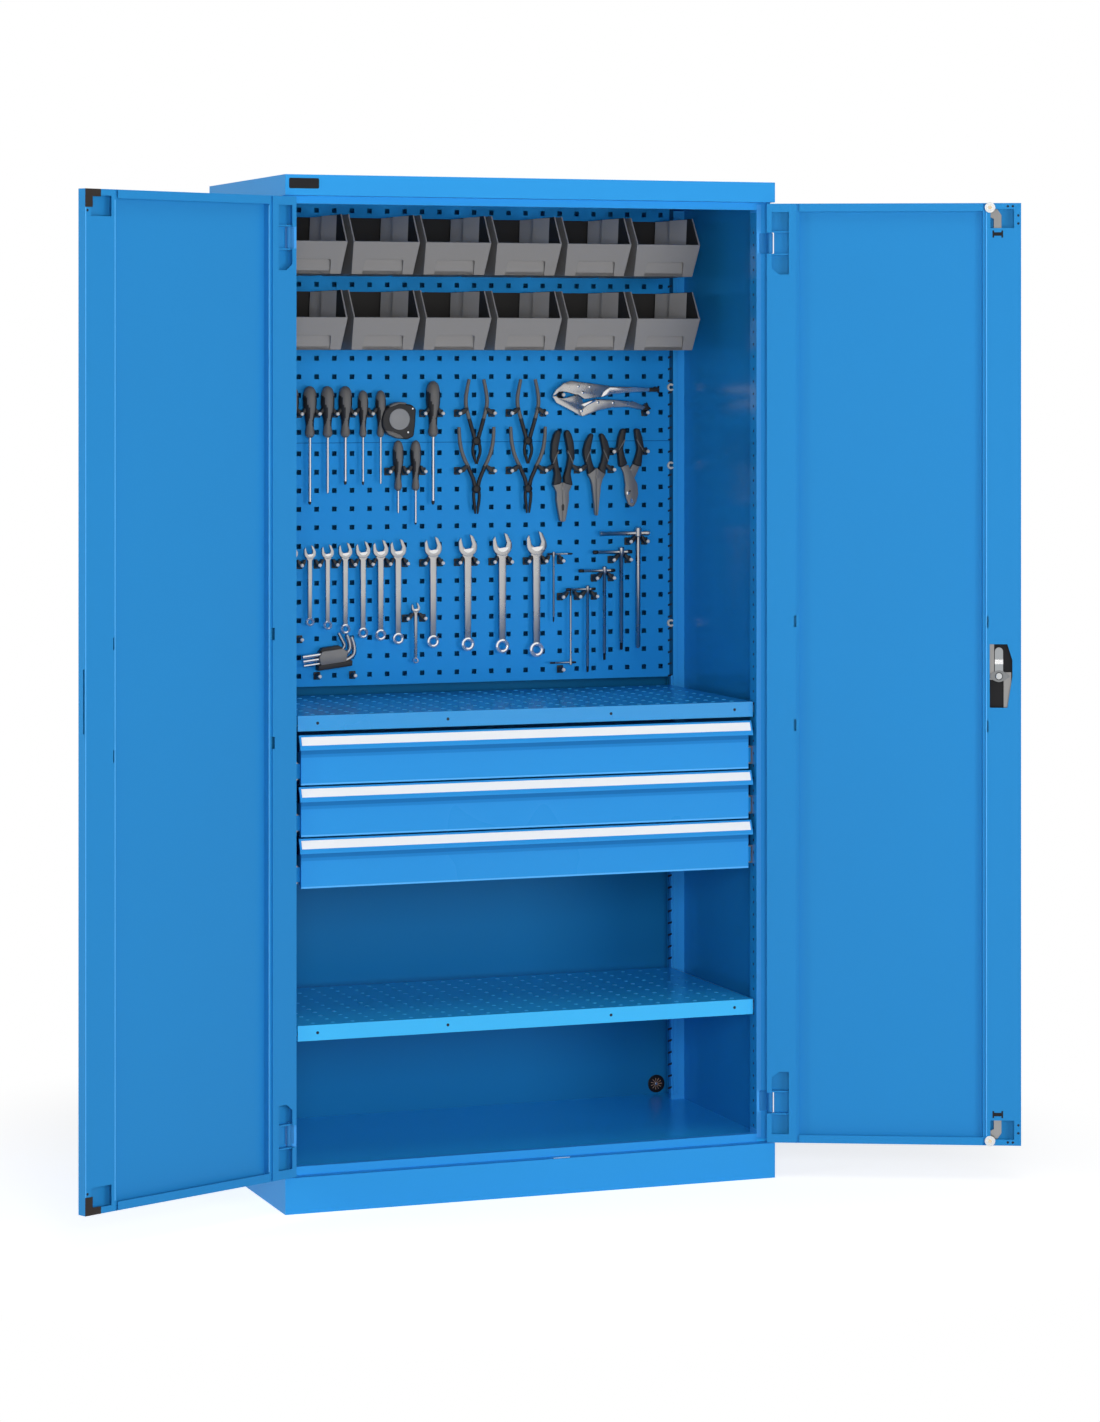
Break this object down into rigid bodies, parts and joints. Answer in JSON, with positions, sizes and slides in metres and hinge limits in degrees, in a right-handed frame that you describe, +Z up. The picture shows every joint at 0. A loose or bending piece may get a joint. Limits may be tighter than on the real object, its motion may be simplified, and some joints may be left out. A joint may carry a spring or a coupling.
{
  "type": "tool cabinet with doors",
  "caption": "Tall free-standing tool cabinet with swung-open double doors, perforated tool panels with hung tools and bins, shelves, drawers and a rod lock.",
  "frame": {"origin": "on the floor under the middle of the cabinet body", "axes": "+X to the right, +Y to the back, +Z up"},
  "size_m": [1.9256, 0.7686, 2],
  "materials": {
    "carcass_paint": "semi-gloss powder coat, strong blue",
    "door_paint": "semi-gloss powder coat, strong blue",
    "panel_paint": "semi-gloss powder coat, strong blue",
    "shelf_paint": "semi-gloss powder coat, strong blue",
    "drawer_paint": "semi-gloss powder coat, strong blue",
    "tray_paint": "semi-gloss powder coat, strong blue",
    "zinc_steel": "bright zinc",
    "hinge_steel": "dark blue black",
    "grey_plastic": "light grey",
    "black_plastic": "fine textured black",
    "white_plastic": "white",
    "label_white": "white label strip",
    "hook_black": "black",
    "bin_grey": "mid grey moulded",
    "grip_black": "black and grey grip",
    "tool_steel": "satin chrome steel"
  },
  "bodies": {
    "cabinet": {"plinth": "carcass_paint", "floor_panel": "carcass_paint", "left_side_wall": "carcass_paint", "right_side_wall": "carcass_paint", "back_wall": "carcass_paint", "roof_hood": "carcass_paint", "front_stiles": "carcass_paint", "top_front_rail": "carcass_paint", "bottom_front_rail": "carcass_paint", "rear_uprights": "carcass_paint", "lower_pegboard": "panel_paint", "upper_pegboard": "panel_paint", "pegboard_clips": "grey_plastic", "cable_grommet": "black_plastic", "upper_shelf": "shelf_paint", "lower_shelf": "shelf_paint", "shelf_brackets": "zinc_steel", "drawer_fixed_rails": "zinc_steel", "hinge_brackets": "hinge_steel", "hinge_pins": "zinc_steel", "tool_hooks": "hook_black", "storage_bins": "bin_grey", "screwdriver_handles": "grip_black", "screwdriver_blades": "tool_steel", "combination_spanners": "tool_steel", "t_handle_keys": "tool_steel", "hex_key_set": "grip_black", "hand_pliers": "tool_steel", "locking_pliers": "tool_steel", "tape_measure": "black_plastic"},
    "left_door": {"left_door_panel": "door_paint", "left_hinge_post": "door_paint", "left_lock_post": "door_paint", "door_corner_guards": "black_plastic"},
    "right_door": {"right_door_panel": "door_paint", "right_hinge_post": "door_paint", "right_lock_post": "door_paint", "lock_case": "black_plastic", "rod_guides": "black_plastic"},
    "handle": {"lock_handle": "black_plastic", "lock_cam": "zinc_steel"},
    "upper_rod": {"upper_lock_rod": "zinc_steel"},
    "lower_rod": {"lower_lock_rod": "zinc_steel"},
    "upper_roller": {"upper_rod_roller": "white_plastic"},
    "lower_roller": {"lower_rod_roller": "white_plastic"},
    "drawer_1": {"drawer_1_tray": "tray_paint", "drawer_1_front": "drawer_paint", "drawer_1_grip": "drawer_paint", "drawer_1_label": "label_white"},
    "drawer_1_slides": {"drawer_1_mid_rails": "zinc_steel"},
    "drawer_2": {"drawer_2_tray": "tray_paint", "drawer_2_front": "drawer_paint", "drawer_2_grip": "drawer_paint", "drawer_2_label": "label_white"},
    "drawer_2_slides": {"drawer_2_mid_rails": "zinc_steel"},
    "drawer_3": {"drawer_3_tray": "tray_paint", "drawer_3_front": "drawer_paint", "drawer_3_grip": "drawer_paint", "drawer_3_label": "label_white"},
    "drawer_3_slides": {"drawer_3_mid_rails": "zinc_steel"}
  },
  "joints": [
    {"name": "left_door_swing", "type": "hinge", "parent": "cabinet", "child": "left_door", "pos_m": [-0.5035, -0.2725, 1], "axis": [0, 0, -1], "range_deg": [-156, 0]},
    {"name": "right_door_swing", "type": "hinge", "parent": "cabinet", "child": "right_door", "pos_m": [0.5035, -0.2725, 1], "axis": [0, 0, 1], "range_deg": [-156, 0]},
    {"name": "handle_turn", "type": "hinge", "parent": "right_door", "child": "handle", "pos_m": [0.91679, -0.46658, 1.011], "axis": [0.4067, 0.9135, 0], "range_deg": [0, 90]},
    {"name": "upper_rod_slide", "type": "slide", "parent": "right_door", "child": "upper_rod", "axis": [0, 0, 1], "range_m": [0, 0.02]},
    {"name": "lower_rod_slide", "type": "slide", "parent": "right_door", "child": "lower_rod", "axis": [0, 0, -1], "range_m": [0, 0.02]},
    {"name": "upper_roller_spin", "type": "hinge", "parent": "upper_rod", "child": "upper_roller", "pos_m": [0.90307, -0.45314, 1.948], "axis": [0.4067, 0.9135, 0], "continuous": true},
    {"name": "lower_roller_spin", "type": "hinge", "parent": "lower_rod", "child": "lower_roller", "pos_m": [0.90307, -0.45314, 0.082], "axis": [0.4067, 0.9135, 0], "continuous": true},
    {"name": "drawer_1_slide", "type": "slide", "parent": "cabinet", "child": "drawer_1", "axis": [0, -1, 0], "range_m": [0, 0.38]},
    {"name": "drawer_1_mid_slide", "type": "slide", "parent": "cabinet", "child": "drawer_1_slides", "axis": [0, -1, 0], "range_m": [0, 0.19]},
    {"name": "drawer_2_slide", "type": "slide", "parent": "cabinet", "child": "drawer_2", "axis": [0, -1, 0], "range_m": [0, 0.38]},
    {"name": "drawer_2_mid_slide", "type": "slide", "parent": "cabinet", "child": "drawer_2_slides", "axis": [0, -1, 0], "range_m": [0, 0.19]},
    {"name": "drawer_3_slide", "type": "slide", "parent": "cabinet", "child": "drawer_3", "axis": [0, -1, 0], "range_m": [0, 0.38]},
    {"name": "drawer_3_mid_slide", "type": "slide", "parent": "cabinet", "child": "drawer_3_slides", "axis": [0, -1, 0], "range_m": [0, 0.19]}
  ],
  "couplings": [
    {"joint": "upper_rod_slide", "follows": "handle_turn", "m_per_rad": 0.012732},
    {"joint": "lower_rod_slide", "follows": "handle_turn", "m_per_rad": 0.012732},
    {"joint": "drawer_1_mid_slide", "follows": "drawer_1_slide", "ratio": 0.5},
    {"joint": "drawer_2_mid_slide", "follows": "drawer_2_slide", "ratio": 0.5},
    {"joint": "drawer_3_mid_slide", "follows": "drawer_3_slide", "ratio": 0.5}
  ]
}
